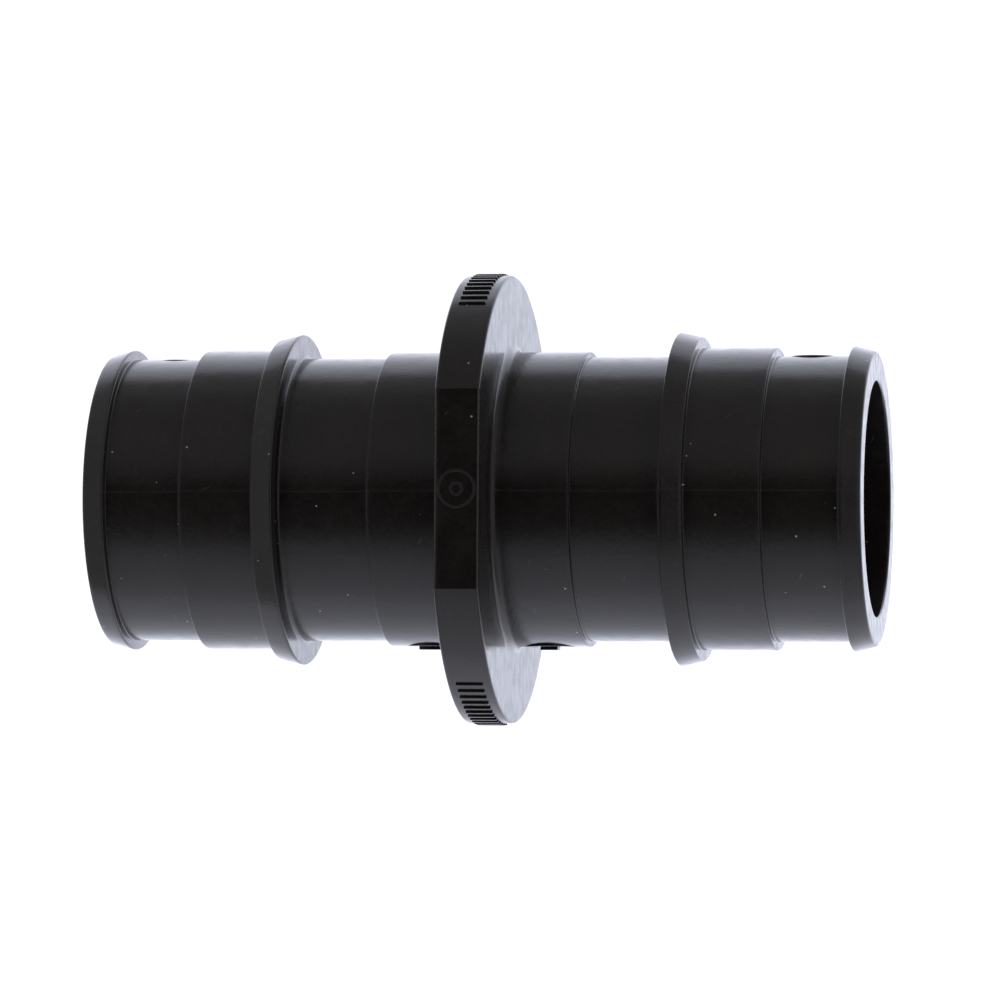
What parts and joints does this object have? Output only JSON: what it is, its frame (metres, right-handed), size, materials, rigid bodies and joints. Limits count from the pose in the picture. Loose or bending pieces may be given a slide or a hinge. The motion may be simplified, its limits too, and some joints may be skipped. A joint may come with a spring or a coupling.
{
  "type": "insert pipe coupling",
  "caption": "Straight moulded insert coupling with a central stop collar and ribbed spigots for expanded plastic pipe.",
  "frame": {"origin": "on the bore axis, at the middle of the stop collar", "axes": "X along the bore; Z square to the collar's two flat lands, up from the one that the coupling lies on; the mould's parting plane is XZ"},
  "size_m": [0.0576, 0.0334, 0.03],
  "materials": {
    "moulded_plastic": "satin black, as moulded"
  },
  "bodies": {
    "root": {"coupling_body": "moulded_plastic"}
  },
  "joints": []
}
